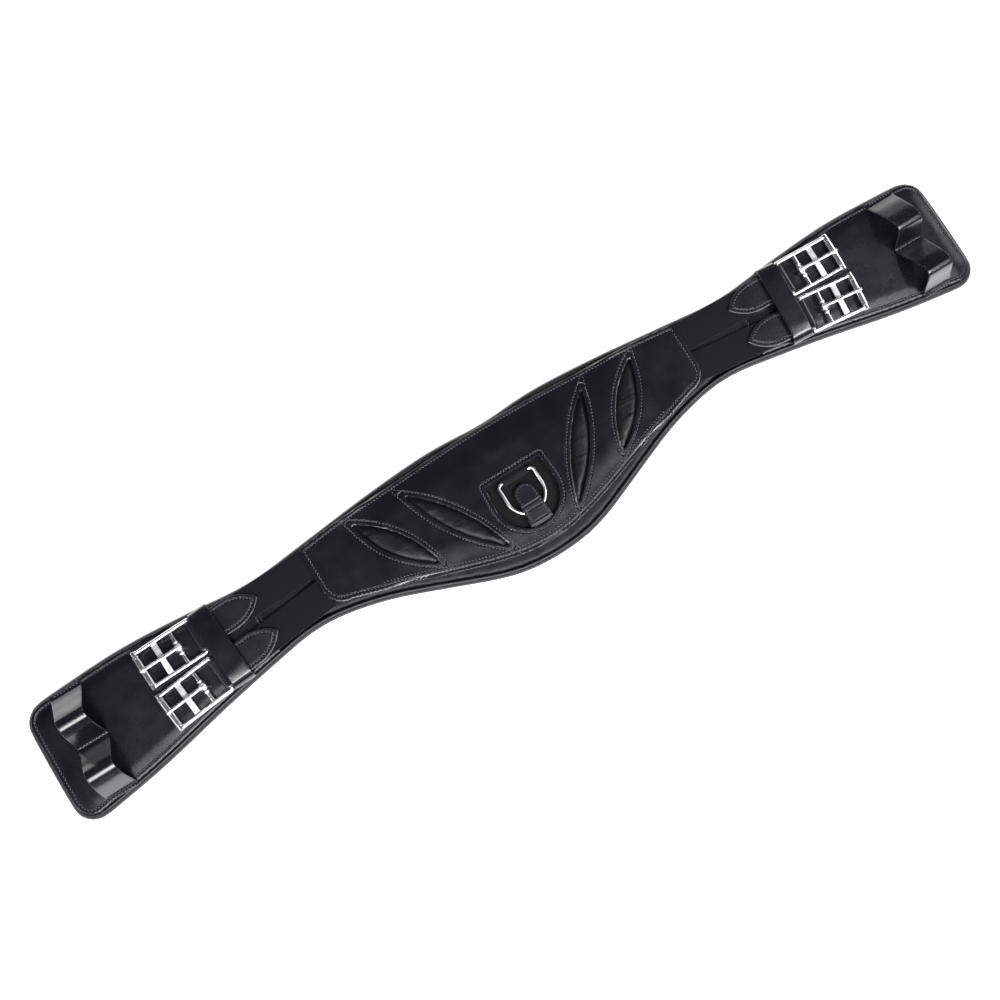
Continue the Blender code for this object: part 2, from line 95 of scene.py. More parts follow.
for name, place, size, watts in [("front_softbox", (0.0, -0.70, 1.10), (2.0, 0.30), 40.0),
                                 ("rear_softbox", (0.1, 1.05, 0.8), (1.6, 0.12), 1.2),
                                 ("left_overhead", (-0.42, -0.36, 1.25), (0.55, 0.12), 2.6),
                                 ("right_overhead", (0.78, -0.36, 1.25), (0.6, 0.12), 3.6),
                                 ("left_softbox", (-1.50, -0.2, 0.6), (0.25, 0.6), 4.0),
                                 ("right_softbox", (1.50, 0.1, 0.6), (0.25, 0.6), 4.0)]:
    softbox = bpy.data.lights.new(name, "AREA")
    softbox.shape = "RECTANGLE"
    softbox.size, softbox.size_y = size
    softbox.energy = watts
    lamp = bpy.data.objects.new(name, softbox)
    lamp.location = place
    lamp.rotation_euler = (-Vector(place)).to_track_quat("-Z", "Y").to_euler()
    scene.collection.objects.link(lamp)

bpy.ops.mesh.primitive_plane_add(size=6.0, location=(0, 0, -0.2 * mm))
table = bpy.context.object
table.name = "table"
table_white = bpy.data.materials.new("table_white")
table_white.use_nodes = True
shader = table_white.node_tree.nodes["Principled BSDF"]
shader.inputs["Base Color"].default_value = (0.92, 0.92, 0.92, 1)
shader.inputs["Roughness"].default_value = 0.9
shader.inputs["Specular IOR Level"].default_value = 0.0
shader.inputs["Emission Color"].default_value = (1, 1, 1, 1)
shader.inputs["Emission Strength"].default_value = 0.9
table.data.materials.append(table_white)


# ---------------------------------------------------------------- lining
# The lining is one skin of soft leather that lies against the horse.  It is turned up round the
# foam and rolled over its edge, all the way round, and the roll is sewn down inside it.

def pick_up(piece):
    """Makes a piece the only one selected, in object mode."""
    if bpy.context.object and bpy.context.object.mode != "OBJECT":
        bpy.ops.object.mode_set(mode="OBJECT")
    bpy.ops.object.select_all(action="DESELECT")
    piece.select_set(True)
    bpy.context.view_layer.objects.active = piece


def open_up(piece, mode="FACE"):
    """Edit mode with nothing selected; returns the mesh to select in."""
    pick_up(piece)
    bpy.ops.object.mode_set(mode="EDIT")
    bpy.ops.mesh.select_mode(type=mode)
    bpy.ops.mesh.select_all(action="DESELECT")
    return bmesh.from_edit_mesh(piece.data)


def cut_from(node, name):
    """A new piece in the shape of a CAD node, as one skin of quads."""
    piece = frame["nodes"][node].copy()
    piece.data = piece.data.copy()
    piece.data.materials.clear()
    piece.name = name
    piece.parent = None
    piece.hide_render = piece.hide_viewport = False
    del piece["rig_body"], piece["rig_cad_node"]
    scene.collection.objects.link(piece)
    pick_up(piece)
    bpy.ops.mesh.customdata_custom_splitnormals_clear()
    bpy.ops.object.mode_set(mode="EDIT")
    bpy.ops.mesh.select_all(action="SELECT")
    bpy.ops.mesh.remove_doubles(threshold=0.01 * mm)
    bpy.ops.mesh.tris_convert_to_quads()
    bpy.ops.object.mode_set(mode="OBJECT")
    return piece


def work(piece, kind, **settings):
    """Adds a modifier and applies it."""
    pick_up(piece)
    modifier = piece.modifiers.new(kind.lower(), kind)
    for setting, value in settings.items():
        setattr(modifier, setting, value)
    bpy.ops.object.modifier_apply(modifier=modifier.name)


def mark_edge(piece, tree=None):
    """Stores each point's distance from the piece's edge in millimetres, for worn edges with a painted
    highlight, and for seams.
    """
    far = [min(40.0, tree.find(v.co)[2] / mm) if tree else 40.0 for v in piece.data.vertices]
    piece.data.attributes.new("edge", "FLOAT", "POINT").data.foreach_set("value", far)


def belongs(piece, material, slot, body, *nodes):
    """Gives a piece its finish, the body that it rides on and the CAD nodes that it stands for."""
    pick_up(piece)
    bpy.ops.object.shade_smooth_by_angle(angle=math.radians(50))
    piece.data.materials.clear()
    piece.data.materials.append(material)
    if nodes:
        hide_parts(*nodes)
    if body:
        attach(piece, body)


class Paint:
    """A socket of a material's nodes, which Python's own signs can calculate with."""

    def __init__(self, material, socket=None):
        self.material, self.socket = material, socket

    def node(self, kind, settings, sockets, out=0):
        """A new node: its type, its settings, and its sockets' values or links."""
        made = self.material.node_tree.nodes.new("ShaderNode" + kind)
        for setting, value in settings.items():
            setattr(made, setting, value)
        for key, value in sockets.items():
            if isinstance(value, Paint):
                self.material.node_tree.links.new(value.socket, made.inputs[key])
            else:
                made.inputs[key].default_value = value
        return Paint(self.material, made.outputs[out])

    def math(self, operation, *terms):
        return self.node("Math", {"operation": operation}, dict(enumerate(terms)))

    def __add__(self, other):
        return self.math("ADD", self, other)

    def __sub__(self, other):
        return self.math("SUBTRACT", self, other)

    def __rsub__(self, other):
        return self.math("SUBTRACT", other, self)

    def __mul__(self, other):
        return self.math("MULTIPLY", self, other)

    def __pow__(self, other):
        return self.math("POWER", self, other)

    def __abs__(self):
        return self.math("ABSOLUTE", self)

    __radd__, __rmul__ = __add__, __mul__

    def rise(self, low, high):
        """0 below one value and 1 above another, smooth between."""
        return self.node("MapRange", {"interpolation_type": "SMOOTHSTEP"},
                         {"Value": self, "From Min": low, "From Max": high})

    def between(self, dark, light):
        """A colour between two, by this share."""
        return self.node("Mix", {"data_type": "RGBA"}, {0: self, 6: (*dark, 1), 7: (*light, 1)}, 2)

    def feeds(self, name):
        shader = self.material.node_tree.nodes["Principled BSDF"]
        self.material.node_tree.links.new(self.socket, shader.inputs[name])


def blank(name, **constants):
    """A new material with constants on its shader's sockets."""
    material = bpy.data.materials.new(name)
    material.use_nodes = True
    shader = material.node_tree.nodes["Principled BSDF"]
    for socket, value in constants.items():
        shader.inputs[socket.replace("_", " ")].default_value = value
    return Paint(material)


GROOVE = 0.5                   # millimetres deep, where thread pulls the leather down


def leather(name, colour, roughness, grain=1.0, waves=1.0, coat=0.0, seams=(), crease=0.0, turn=0.0,
            shine=0.5):
    """Dyed cowhide: pebble grain, hair pores, slow waves, and worn edges lightened with a painted
    highlight.

    In `seams` are the distances from the edge in millimetres where thread has pulled a groove.
    `crease` is the height in millimetres of wrinkles that run at the angle `turn`.
    """
    paint = blank(name, Coat_Weight=coat, Coat_Roughness=0.1, Specular_IOR_Level=shine)
    place = paint.node("TexCoord", {}, {}, "Object")
    edge = paint.node("Attribute", {"attribute_name": "edge"}, {}, "Fac")
    pebble = paint.node("TexVoronoi", {"feature": "DISTANCE_TO_EDGE"},
                        {"Vector": place, "Scale": 1100.0})
    pore = 1 - paint.node("TexVoronoi", {}, {"Vector": place, "Scale": 620.0}).rise(0.03, 0.2)
    mottle = paint.node("TexNoise", {}, {"Vector": place, "Scale": 55.0, "Detail": 4.0})
    wave = paint.node("TexNoise", {}, {"Vector": place, "Scale": 22.0, "Detail": 2.0, "Roughness": 0.4})
    edge_wear_and_highlight = 1 - edge.rise(0.2, 1.3)
    height = pebble.rise(0.0, 0.28) * (0.03 * grain) + wave * (0.6 * waves) - pore * (0.012 * grain)
    if crease:
        turned = paint.node("Mapping", {}, {"Vector": place, "Rotation": (0, 0, turn),
                                            "Scale": (14, 70, 20)})
        folds = paint.node("TexNoise", {}, {"Vector": turned, "Scale": 1.0, "Detail": 3.0,
                                            "Distortion": 0.8})
        height = height + folds * crease
    for seam in seams:
        groove = 1 - abs(edge - seam).rise(0.2, 1.1)
        height = height - groove * GROOVE
    paint.node("Bump", {}, {"Distance": mm, "Height": height}).feeds("Normal")
    (roughness - 0.08 + mottle * 0.16 - edge_wear_and_highlight * 0.08 + pore * 0.05).feeds("Roughness")
    # Lighter towards the cut edge: partly rubbed wear, partly a painted highlight along the edge. The
    # mottle lightens it at random.
    rubbed_and_highlit = [c * 2.5 + 0.006 for c in colour]
    (mottle ** 2 * 0.4 + edge_wear_and_highlight * 0.8).between(colour, rubbed_and_highlit).feeds("Base Color")
    return paint.material


lining = cut_from("lining", "lining_leather")
work(lining, "SUBSURF", levels=2, render_levels=2)
mark_edge(lining)
lining_hide = leather("lining_hide", (0.0050, 0.0051, 0.0070), 0.38, grain=1.2, waves=0.6, shine=0.4)
belongs(lining, lining_hide, "soft_leather", "girth", "lining")


# ---------------------------------------------------------------- foam and base leather
# The foam core fills the tray of the lining, with the load webbing let into it.  A base leather
# is glued over it.  Where nothing lies on top, between the panels, the foam pushes it up.

PUFF_CAP = 1.6 * mm            # the most that the foam stands up
PUFF_FRAMES = 20
SIDE_SWELL = 0.7 * mm          # the foam's sides swell out


def remesh(piece, size, rounds):
    """One even skin of small quads, with its corners rubbed round."""
    pick_up(piece)
    piece.data.remesh_voxel_size = size * mm
    bpy.ops.object.voxel_remesh()
    work(piece, "SMOOTH", factor=0.5, iterations=rounds)


def inflate(piece, cap, allowed):
    """Blows a padded piece up as cloth; `allowed` is the share of the cap that each point gets."""
    start = [v.co.copy() for v in piece.data.vertices]
    pick_up(piece)
    cloth = piece.modifiers.new("padding", "CLOTH")
    cloth.settings.use_pressure = True
    cloth.settings.uniform_pressure_force = 4.0
    cloth.settings.effector_weights.gravity = 0.0
    cloth.point_cache.frame_start, cloth.point_cache.frame_end = 1, PUFF_FRAMES
    for step in range(1, PUFF_FRAMES + 1):
        scene.frame_set(step)
    bpy.ops.object.modifier_apply(modifier=cloth.name)
    scene.frame_set(1)
    for vert, was, share in zip(piece.data.vertices, start, allowed):
        move = vert.co - was
        most = cap * share
        vert.co = was + (move if move.length <= most else move * (most / move.length))


pad = cut_from("base_leather", "foam_and_base_leather")
tray_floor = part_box("foam_core")[0].z
mesh = open_up(pad)
for face in mesh.faces:
    face.select = face.normal.z < -0.9
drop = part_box("base_leather")[0].z - tray_floor
bpy.ops.transform.translate(value=(0, 0, -drop))
bpy.ops.object.mode_set(mode="OBJECT")
remesh(pad, 3.0, 3)
mesh = open_up(pad)
for face in mesh.faces:
    face.select = abs(face.normal.z) < 0.8
bpy.ops.transform.shrink_fatten(value=SIDE_SWELL)
bpy.ops.object.mode_set(mode="OBJECT")
panel_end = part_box("centre_panel")[1].x
end_panel_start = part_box("end_panel_right")[0].x
middle, reach = (panel_end + end_panel_start) / 2, (end_panel_start - panel_end) / 2
bare = [max(0.0, 1 - ((abs(v.co.x) - middle) / reach) ** 2) * (v.co.z > tray_floor + 3 * mm)
        for v in pad.data.vertices]
inflate(pad, PUFF_CAP, bare)
work(pad, "SUBSURF", levels=1, render_levels=1)
mark_edge(pad)
base_hide = leather("base_hide", (0.0026, 0.0026, 0.0036), 0.40, grain=1.2, waves=0.8, shine=0.25)
belongs(pad, base_hide, "soft_leather", "girth", "foam_core", "base_leather", "load_web")


# ---------------------------------------------------------------- end panels
# Each end is covered with a panel of smooth strap leather, cut to the pad's shape and sewn down
# all round close to its edge.  Like every leather piece here it has rounded, polished edges.

PANEL_BLACK = (0.0030, 0.0035, 0.0054)
THREAD = 0.85                  # across a stitch, in millimetres as all four
STITCH = 1.7                   # along it
PITCH = 2.6                    # from one stitch to the next
SEAM = 3.4                     # from the edge to the row of stitches
STITCH_TURN = 24               # degrees that each stitch is turned out of its row

bpy.ops.mesh.primitive_uv_sphere_add(segments=8, ring_count=6, radius=0.5)
stitch = bpy.context.object
stitch.name = "stitch"
bpy.ops.object.mode_set(mode="EDIT")
bpy.ops.transform.resize(value=(STITCH * mm, THREAD * mm, THREAD * mm))
bpy.ops.transform.rotate(value=math.radians(STITCH_TURN), orient_axis="Z", center_override=(0, 0, 0))
bpy.ops.transform.translate(value=(PITCH / 2 * mm, 0, 0.15 * mm))
bpy.ops.object.mode_set(mode="OBJECT")


def outlines(piece, inward, level=None):
    """The edges of a flat piece's top, each moved inward, as loops from the longest to the shortest."""
    top = piece.copy()
    top.data = piece.data.copy()
    scene.collection.objects.link(top)
    level = max(v.co.z for v in piece.data.vertices) if level is None else level
    mesh = open_up(top)
    for face in mesh.faces:
        face.select = face.normal.z < 0.9 or abs(face.calc_center_median().z - level) > 0.2 * mm
    bpy.ops.mesh.delete(type="FACE")
    if inward:
        bpy.ops.mesh.select_all(action="SELECT")
        bpy.ops.mesh.inset(thickness=inward * mm, use_boundary=True, use_even_offset=True)
        bpy.ops.mesh.select_all(action="INVERT")
        bpy.ops.mesh.delete(type="FACE")
    mesh = bmesh.from_edit_mesh(top.data)
    bpy.ops.mesh.select_mode(type="EDGE")
    for line in mesh.edges:
        line.select = not line.is_boundary
    bpy.ops.mesh.delete(type="EDGE")
    bpy.ops.mesh.select_all(action="SELECT")
    bpy.ops.mesh.separate(type="LOOSE")
    bpy.ops.object.mode_set(mode="OBJECT")
    loops = list(bpy.context.selected_objects)
    return sorted(loops, key=lambda loop: -loop.dimensions.length)


def tree_of(loops):
    """Points every half millimetre along some loops, to measure distances from."""
    points = []
    for loop in loops:
        for line in loop.data.edges:
            a, b = (loop.data.vertices[i].co for i in line.vertices)
            count = max(1, round((b - a).length / (0.5 * mm)))
            points += [a.lerp(b, i / count) for i in range(count)]
    tree = kdtree.KDTree(len(points))
    for i, point in enumerate(points):
        tree.insert(point, i)
    tree.balance()
    return tree


def throw_away(pieces):
    for piece in pieces:
        bpy.data.objects.remove(piece)


# The thread's colour is dark grey, not black: its own black is lifted as a painted sheen, so the
# stitches read as light dots.
thread_paint = blank("bonded_thread", Base_Color=(0.065, 0.068, 0.08, 1))
place = thread_paint.node("TexCoord", {}, {}, "Object")
ply = thread_paint.node("TexNoise", {}, {"Vector": place, "Scale": 900.0, "Detail": 2.0})
(0.3 + ply * 0.25).feeds("Roughness")
thread_paint.node("Bump", {}, {"Distance": 0.1 * mm, "Height": ply}).feeds("Normal")
thread_with_painted_sheen = thread_paint.material


def row_of(points):
    """Points in millimetres joined in a row."""
    bpy.ops.mesh.primitive_plane_add(size=1)
    row = bpy.context.object
    open_up(row, "VERT")
    bpy.ops.mesh.select_all(action="SELECT")
    bpy.ops.mesh.merge(type="CENTER")
    bpy.ops.transform.translate(value=[c * mm for c in points[0]])
    for here, there in zip(points, points[1:]):
        step = [(b - a) * mm for a, b in zip(here, there)]
        bpy.ops.mesh.extrude_vertices_move(TRANSFORM_OT_translate={"value": step})
    bpy.ops.object.mode_set(mode="OBJECT")
    return row


def sew(name, rows, cloth, body):
    """Stitches along each row, on the surface of the piece that they hold down."""
    seams = []
    for row in rows:
        pick_up(row)
        bpy.ops.object.mode_set(mode="EDIT")
        bpy.ops.mesh.select_all(action="SELECT")
        bpy.ops.mesh.subdivide(number_cuts=5)
        bpy.ops.transform.translate(value=(0, 0, 5 * mm))
        bpy.ops.object.mode_set(mode="OBJECT")
        work(row, "SHRINKWRAP", wrap_method="PROJECT", use_project_z=True, use_negative_direction=True,
             use_positive_direction=False, target=cloth)
        bpy.ops.object.convert(target="CURVE")
        row.data.twist_mode = "Z_UP"
        seam = stitch.copy()
        seam.data = stitch.data.copy()
        scene.collection.objects.link(seam)
        work(seam, "ARRAY", fit_type="FIT_CURVE", curve=row, use_relative_offset=False,
             use_constant_offset=True, constant_offset_displace=(PITCH * mm, 0, 0))
        work(seam, "CURVE", object=row, deform_axis="POS_X")
        seams.append(seam)
    pick_up(seams[0])
    for seam in seams:
        seam.select_set(True)
    bpy.ops.object.join()
    stitching = bpy.context.object
    stitching.name = name
    throw_away(rows)
    belongs(stitching, thread_with_painted_sheen, "leather", body)


def eased(value, low, high):
    """0 below one value and 1 above another, smooth between, for numbers and arrays."""
    share = np.clip((value - low) / (high - low), 0, 1)
    return share * share * (3 - 2 * share)


def lower(piece, rim, drops, held=None):
    """Lets a piece down along a rim: by each drop, fading out over its width.  Both in millimetres."""
    points = np.array([v.co for v in piece.data.vertices])
    far = np.array([rim.find((p[0], p[1], rim_level[rim]))[2] for p in points]) / mm
    down = sum(drop * (1 - eased(far, 0, width)) for drop, width in drops)
    points[:, 2] -= down * mm * (1 if held is None else 1 - held(points))
    piece.data.vertices.foreach_set("co", points.astype(np.float32).ravel())
    piece.data.update()


CROWN = [(1.1, 12.0)]          # the end panels' edges are drawn down by the thread
rim_level = {}                 # the height of each rim
end_rims = {}
panel_hide = leather("end_panel_hide", PANEL_BLACK, 0.27, grain=0.5, waves=1.4, seams=[SEAM])
for side in ("left", "right"):
    panel = cut_from(f"end_panel_{side}", f"end_panel_leather_{side}")
    edges = outlines(panel, 0)
    rows = outlines(panel, SEAM)
    end_rims[side] = tree_of(edges[:1])
    rim_level[end_rims[side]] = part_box(f"end_panel_{side}")[1].z
    remesh(panel, 1.1, 7)
    mark_edge(panel, tree_of(edges))
    throw_away(edges)
    lower(panel, end_rims[side], CROWN)
    belongs(panel, panel_hide, "leather", "girth", f"end_panel_{side}")
    sew(f"end_panel_stitching_{side}", rows, panel, "girth")


# ---------------------------------------------------------------- centre underlay and eye inlays
# An underlay of soft leather lies beneath the centre panel and is the floor of its shield-shaped
# cut-out.  Four leaf-shaped pieces of soft nappa are padded, and push up through the panel's eyes.

panel = cut_from("centre_panel", "centre_panel_leather")
panel_edges = outlines(panel, 0)
panel_rim = tree_of(panel_edges[:1])
over_elastics = [min(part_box(f"elastic_right_{row}")[0].y for row in ("rear", "front")),
                 max(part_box(f"elastic_right_{row}")[1].y for row in ("rear", "front"))]
elastic_end = min(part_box(f"elastic_right_{row}")[0].x for row in ("rear", "front"))
rim_level[panel_rim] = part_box("centre_panel")[1].z
DIP = [(2.2, 24.0), (1.9, 3.2)]        # the panel dips towards its rim, and the rim rolls over
BANK = 62 * mm                         # inward of the elastics' ends, where the dip begins to fade
SHOULDERS = (24 * mm, 12 * mm)         # the same in front of the elastics and behind them


def on_elastics(points):
    """1 where the panel lies over the elastics and can't go down, 0 elsewhere."""
    x, y = np.abs(points[:, 0]), points[:, 1]
    return (eased(x, elastic_end - BANK, elastic_end - 2 * mm)
            * eased(y, over_elastics[0] - SHOULDERS[0], over_elastics[0])
            * (1 - eased(y, over_elastics[1], over_elastics[1] + SHOULDERS[1])))


underlay = cut_from("centre_underlay", "centre_underlay_leather")
remesh(underlay, 2.0, 2)
mark_edge(underlay)
suede = leather("underlay_suede", (0.0016, 0.0016, 0.0020), 0.45, grain=2.5, shine=0.12)
belongs(underlay, suede, "soft_leather", "girth", "centre_underlay")

INLAY_RISE = 2.4 * mm                  # the most that an inlay is blown up
INLAY_EDGE = [(1.4, 9.0)]              # its edge is held down under the panel
for side, sign in (("left", -1), ("right", 1)):
    for which in ("outer", "inner"):
        inlay = cut_from(f"eye_inlay_{side}_{which}", f"eye_inlay_nappa_{side}_{which}")
        edges = outlines(inlay, 0)
        inlay_rim = tree_of(edges)
        low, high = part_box(f"eye_inlay_{side}_{which}")
        along = math.atan2(high.y - low.y, sign * (high.x - low.x))
        throw_away(edges)
        remesh(inlay, 1.2, 2)
        rim_level[inlay_rim] = high.z
        lower(inlay, inlay_rim, INLAY_EDGE)
        inner = [float(eased(inlay_rim.find(v.co)[2], 3.6 * mm, 8 * mm)) * (v.co.z > low.z + 0.4 * mm)
                 for v in inlay.data.vertices]
        inflate(inlay, INLAY_RISE, inner)
        lower(inlay, panel_rim, DIP, on_elastics)
        mark_edge(inlay)
        nappa = leather(f"nappa_{side}_{which}", (0.0034, 0.0032, 0.0046), 0.32, grain=1.5,
                        crease=1.2, turn=-along, shine=0.25)
        belongs(inlay, nappa, "soft_leather", "girth", f"eye_inlay_{side}_{which}")


# ---------------------------------------------------------------- centre panel
# One piece of bridle leather with four eyes and a shield cut out of it.  It lies over the inner
# ends of the elastics, is sewn once round every edge, and twice along its front.

ROW_GAP = 2.6                  # millimetres from the first row to the second
SECOND_ROW_END = -6 * mm       # the second row stays in front of this

rows = outlines(panel, SEAM)
second_rows = outlines(panel, SEAM + ROW_GAP)
remesh(panel, 1.0, 5)
lower(panel, panel_rim, DIP, on_elastics)
mark_edge(panel, tree_of(panel_edges))
centre_hide = leather("centre_panel_hide", PANEL_BLACK, 0.25, grain=0.4, waves=1.6, coat=0.25,
                      seams=[SEAM])
belongs(panel, centre_hide, "leather", "girth", "centre_panel")
front_row = second_rows[0]
mesh = open_up(front_row, "VERT")
for vert in mesh.verts:
    vert.select = vert.co.y > SECOND_ROW_END
bpy.ops.mesh.delete(type="VERT")
bpy.ops.object.mode_set(mode="OBJECT")
throw_away(second_rows[1:])
sew("centre_panel_stitching", rows + [front_row], panel, "girth")
throw_away(panel_edges)


# ---------------------------------------------------------------- D-ring, webbing loop and tab
# The ring is bent from steel wire.  Webbing folded round its straight bar is sewn under the panel.
# A leather tab is sewn down in front of the ring, lies over its curved bar and tucks inside it.

def steel(name, roughness):
    """Stainless steel with fine wiping scratches, polished where it isn't marked as satin."""
    paint = blank(name, Base_Color=(0.82, 0.82, 0.83, 1), Metallic=1.0)
    place = paint.node("TexCoord", {}, {}, "Object")
    satin = paint.node("Attribute", {"attribute_name": "satin"}, {}, "Fac")
    scratch = paint.node("TexNoise", {}, {"Vector": place, "Scale": 240.0, "Detail": 5.0})
    smear = paint.node("TexNoise", {}, {"Vector": place, "Scale": 40.0, "Detail": 2.0})
    (roughness - 0.06 + scratch * 0.08 + smear * 0.08 + satin * 0.25).feeds("Roughness")
    paint.node("Bump", {}, {"Distance": 0.006 * mm, "Height": scratch}).feeds("Normal")
    return paint.material


def webbing(name, colour, along, pitch):
    """Woven tape: weft ribs across it and fine warp lines along it, in millimetres."""
    paint = blank(name, Sheen_Weight=0.1, Sheen_Roughness=0.4, Specular_IOR_Level=0.15)
    place = paint.node("TexCoord", {}, {}, "Object")
    turned = paint.node("Mapping", {}, {"Vector": place, "Rotation": (0, 0, -along)})
    rib = paint.node("TexWave", {"bands_direction": "X"},
                     {"Vector": turned, "Scale": 0.314 / (pitch * mm), "Distortion": 0.6})
    warp = paint.node("TexWave", {"bands_direction": "Y"},
                      {"Vector": turned, "Scale": 0.314 / (pitch * 0.8 * mm), "Distortion": 0.8})
    fuzz = paint.node("TexNoise", {}, {"Vector": place, "Scale": 1500.0, "Detail": 3.0})
    height = rib * 0.16 + warp * 0.1 + fuzz * 0.08
    paint.node("Bump", {}, {"Distance": mm, "Height": height}).feeds("Normal")
    lit = [c * 2.6 for c in colour]
    (rib * 0.35 + warp * 0.3 + fuzz * 0.35).between(colour, lit).feeds("Base Color")
    (0.75 + fuzz * 0.2).feeds("Roughness")
    return paint.material


ring_low, ring_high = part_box("d_ring")
WIRE = (ring_high.z - ring_low.z) / 2 / math.cos(math.radians(22.5))
CORNER = 2 * mm                # the curved sides draw in by this much before the straight bar
half = ring_high.x - WIRE
bar_y = ring_high.y - WIRE
turn_y = ring_low.y + WIRE + half
bpy.ops.mesh.primitive_circle_add(vertices=48, radius=half, fill_type="NGON",
                                  location=(0, turn_y, (ring_low.z + ring_high.z) / 2))
ring = bpy.context.object
ring.name = "d_ring_wire"
bpy.ops.object.transform_apply()
mesh = open_up(ring, "VERT")
for vert in mesh.verts:
    vert.select = vert.co.y > turn_y + 0.1 * mm
bpy.ops.mesh.delete(type="VERT")
mesh = bmesh.from_edit_mesh(ring.data)
bpy.ops.mesh.select_all(action="DESELECT")
for vert in mesh.verts:
    vert.select = vert.co.y > turn_y - 0.1 * mm
straight = bar_y - turn_y - CORNER
bpy.ops.mesh.extrude_vertices_move(TRANSFORM_OT_translate={"value": (0, straight, 0)})
bpy.ops.mesh.extrude_vertices_move(TRANSFORM_OT_translate={"value": (0, CORNER, 0)})
bpy.ops.transform.resize(value=((half - CORNER) / half, 1, 1), center_override=(0, bar_y, 0))
bpy.ops.mesh.edge_face_add()
bpy.ops.object.mode_set(mode="OBJECT")
pick_up(ring)
bpy.ops.object.convert(target="CURVE")
ring.data.bevel_depth = WIRE
ring.data.bevel_resolution = 5
bpy.ops.object.convert(target="MESH")
belongs(ring, steel("d_ring_steel", 0.30), "steel", "ring", "d_ring")

tape = cut_from("d_ring_loop", "d_ring_webbing")
remesh(tape, 0.6, 4)
ring_tape = webbing("ring_tape", (0.0050, 0.0046, 0.0064), math.pi / 2, 1.3)
belongs(tape, ring_tape, "webbing", "girth", "d_ring_loop")

tab_hide = leather("tab_hide", (0.0075, 0.0085, 0.011), 0.34, grain=0.8, seams=[2.2])
tab = cut_from("d_ring_tab", "tab_leather")
anchor = cut_from("tab_anchor", "tab_anchor_leather")
for piece, source, body in ((tab, "d_ring_tab", "tab"), (anchor, "tab_anchor", "girth")):
    edges = outlines(piece, 0)[:1]
    remesh(piece, 0.6, 4)
    mark_edge(piece, tree_of(edges))
    throw_away(edges)
    belongs(piece, tab_hide, "leather", body, source)
ABOVE = 20                     # millimetres, higher than the tab: the rows are dropped onto it
low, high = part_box("d_ring_tab")
half, root, tip = high.x / mm, low.y / mm, high.y / mm
reach = half - 1.8             # from the tab's middle line to its stitches
edge_row = ([(-reach, root + 1.5, ABOVE), (-reach, tip - half, ABOVE)]
            + [(-reach * math.cos(a), tip - half + reach * math.sin(a), ABOVE)
               for a in [math.pi * i / 8 for i in range(1, 8)]]
            + [(reach, tip - half, ABOVE), (reach, root + 1.5, ABOVE)])
sew("tab_stitching", [row_of(edge_row)], tab, "tab")
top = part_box("tab_anchor")[1].y / mm
sew("tab_anchor_stitching",
    [row_of([(x, top - 1.5, ABOVE), (x, top - 9.5, ABOVE)]) for x in (1.6 - half, half - 1.6)],
    anchor, "girth")


# ---------------------------------------------------------------- elastics
# Two bands of woven elastic at each end, sewn into the pocket under the centre panel and into
# the chapes.  They stretch between the two, and so does their weave.

LONG_EDGE = 80 * mm            # only the edges along a band are longer than this

straps = {joint["child"].replace("strap_", ""): Vector(joint["axis"])
          for joint in frame["joints"] if joint["child"].startswith("strap_")}
pivots = {joint["name"]: Vector(joint["pos_m"]) for joint in frame["joints"] if "pos_m" in joint}
for name, along in straps.items():
    angle = math.atan2(along.y, along.x)
    elastic = cut_from(f"elastic_{name}", f"elastic_{name}_band")
    work(elastic, "BEVEL", width=0.6 * mm, segments=3, limit_method="ANGLE")
    mesh = open_up(elastic, "EDGE")
    for line in mesh.edges:
        line.select = line.calc_length() > LONG_EDGE
    bpy.ops.mesh.subdivide(number_cuts=30)
    bpy.ops.object.mode_set(mode="OBJECT")
    weave = webbing(f"elastic_weave_{name}", (0.0030, 0.0027, 0.0041), angle, 1.25)
    belongs(elastic, weave, "elastic", None, f"elastic_{name}")
    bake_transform(elastic)


# ---------------------------------------------------------------- chapes
# A chape is a strip of bridle leather folded round the buckle's rear bar.  The elastic is sewn
# between its leaves, and its longer, upper leaf ends in a point.

CHAPE_SEAM = 3.0               # millimetres from the edge, as SEAM
LEAF = 2.3 * mm                # the upper leaf's top over the elastic's
FOLD_X, FOLD_HALF = -8.5, 10.5      # the row of stitches across the chape, seen from its buckle

# The chapes' black leather is coloured lighter than the panels' black, as a painted sheen.
chape_hide = leather("chape_hide", (0.0046, 0.0056, 0.0078), 0.27, grain=0.6, coat=0.15,
                     seams=[CHAPE_SEAM])
stands = {}                    # where each buckle stands, and which way it points
for name, along in straps.items():
    chape = cut_from(f"chape_{name}", f"chape_{name}_leather")
    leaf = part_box(f"elastic_{name}")[1].z + LEAF
    edges = outlines(chape, 0, leaf)[:1]
    rows = outlines(chape, CHAPE_SEAM, leaf)[:1]
    remesh(chape, 0.7, 9)
    mark_edge(chape, tree_of(edges))
    throw_away(edges)
    belongs(chape, chape_hide, "leather", f"strap_{name}", f"chape_{name}")
    angle = math.atan2(along.y, along.x)
    stands[name] = Matrix.Translation(pivots[f"{name}_buckle"]) @ Matrix.Rotation(angle, 4, "Z")
    fold_row = row_of([(FOLD_X, -FOLD_HALF, 8), (FOLD_X, FOLD_HALF, 8)])
    fold_row.data.transform(stands[name])
    sew(f"chape_stitching_{name}", [*rows, fold_row], chape, f"strap_{name}")


# ---------------------------------------------------------------- buckles
# Each buckle is welded from polished stainless bar: a frame, a tongue bar between two collars, a
# low flat bar for the billet, a tongue bent from wire, and a roller turned with a rim at each end.

BAR = 1.6 * mm                 # the frame's radius
TONGUE_WIRE = 1.4 * mm         # the tongue's
BUCKLE_HALF = 14.1 * mm        # from the middle of the buckle to the middle of its side bars
TONGUE_X, FLAT_X, ROLLER_X = 15.5 * mm, 30.0 * mm, 45.5 * mm        # from the rear bar


